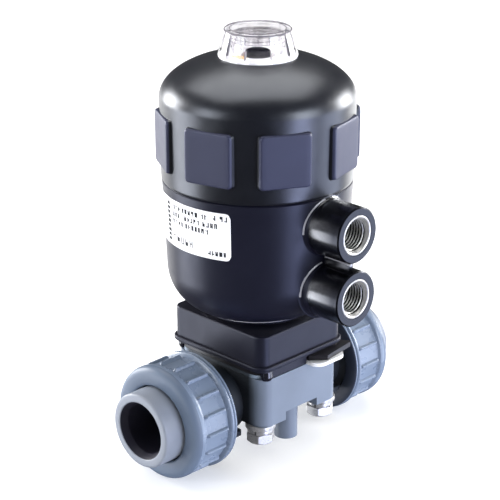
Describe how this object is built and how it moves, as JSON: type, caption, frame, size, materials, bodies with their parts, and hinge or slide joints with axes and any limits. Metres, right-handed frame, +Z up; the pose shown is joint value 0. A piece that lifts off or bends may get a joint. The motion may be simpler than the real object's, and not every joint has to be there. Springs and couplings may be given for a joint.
{
  "type": "pneumatic diaphragm valve",
  "caption": "Two-way weir diaphragm valve with a piston actuator, spring return, clear position window and true-union ends with cement sockets.",
  "frame": {"origin": "on the spindle axis, in the bottom plane of the two mounting bosses under the valve body, midway between their holes", "axes": "+X along the pipe towards the outlet, +Z up the spindle axis, -Y the side with the pilot air ports"},
  "size_m": [0.128, 0.0912, 0.1695],
  "materials": {
    "pipe_plastic": "satin moulded",
    "socket_plastic": "satin moulded",
    "nut_plastic": "satin moulded",
    "housing_plastic": "satin moulded",
    "cover_plastic": "satin moulded",
    "bonnet_plastic": "fine grained",
    "piston_plastic": "satin moulded",
    "guide_plastic": "satin",
    "white_face": "waxy",
    "black_rubber": "matt",
    "clear_plastic": "clear polished",
    "indicator_black": "gloss",
    "indicator_orange": "gloss",
    "label_white": "printed film",
    "steel": "stainless",
    "spring_steel": "drawn wire",
    "nickel": "nickel plated",
    "brass": "machined"
  },
  "bodies": {
    "valve": {"valve_body": "pipe_plastic", "mounting_inserts": "nickel", "union_oring_inlet": "black_rubber", "union_oring_outlet": "black_rubber", "union_end_inlet": "socket_plastic", "union_end_outlet": "socket_plastic", "diaphragm_face": "white_face", "diaphragm_backing": "black_rubber", "bonnet": "bonnet_plastic", "bonnet_inserts": "brass", "bonnet_screws": "steel", "body_washers": "steel", "lock_washers": "steel", "body_bolts": "steel", "seat_ring": "bonnet_plastic", "actuator_housing": "housing_plastic", "pilot_insert_lower": "nickel", "pilot_insert_upper": "nickel", "spindle_seal": "black_rubber", "spindle_bush": "brass", "actuator_cover": "cover_plastic", "cover_seal": "black_rubber", "spring_outer": "spring_steel", "spring_inner": "spring_steel", "cap_seal": "black_rubber", "rating_label": "label_white"},
    "stem": {"piston": "piston_plastic", "piston_seal": "black_rubber", "piston_guide_ring": "guide_plastic", "spindle": "steel", "piston_nut": "steel", "compressor": "piston_plastic", "compressor_pin": "steel", "position_indicator": "indicator_black", "indicator_band": "indicator_orange"},
    "inlet_nut": {"union_nut_inlet": "nut_plastic"},
    "outlet_nut": {"union_nut_outlet": "nut_plastic"},
    "cap": {"indicator_cap": "clear_plastic"}
  },
  "joints": [
    {"name": "stem_lift", "type": "slide", "parent": "valve", "child": "stem", "axis": [0, 0, 1], "range_m": [0, 0.0055], "stiffness_N_per_m": 5000, "springref_m": -0.02, "deforming": ["spring_outer", "spring_inner", "diaphragm_face", "diaphragm_backing"]},
    {"name": "inlet_nut_turn", "type": "hinge", "parent": "valve", "child": "inlet_nut", "pos_m": [-0.045, 0, 0.0185], "axis": [-1, 0, 0], "continuous": true},
    {"name": "outlet_nut_turn", "type": "hinge", "parent": "valve", "child": "outlet_nut", "pos_m": [0.045, 0, 0.0185], "axis": [1, 0, 0], "continuous": true},
    {"name": "cap_turn", "type": "hinge", "parent": "valve", "child": "cap", "pos_m": [0, 0, 0.155], "axis": [0, 0, 1], "continuous": true}
  ]
}
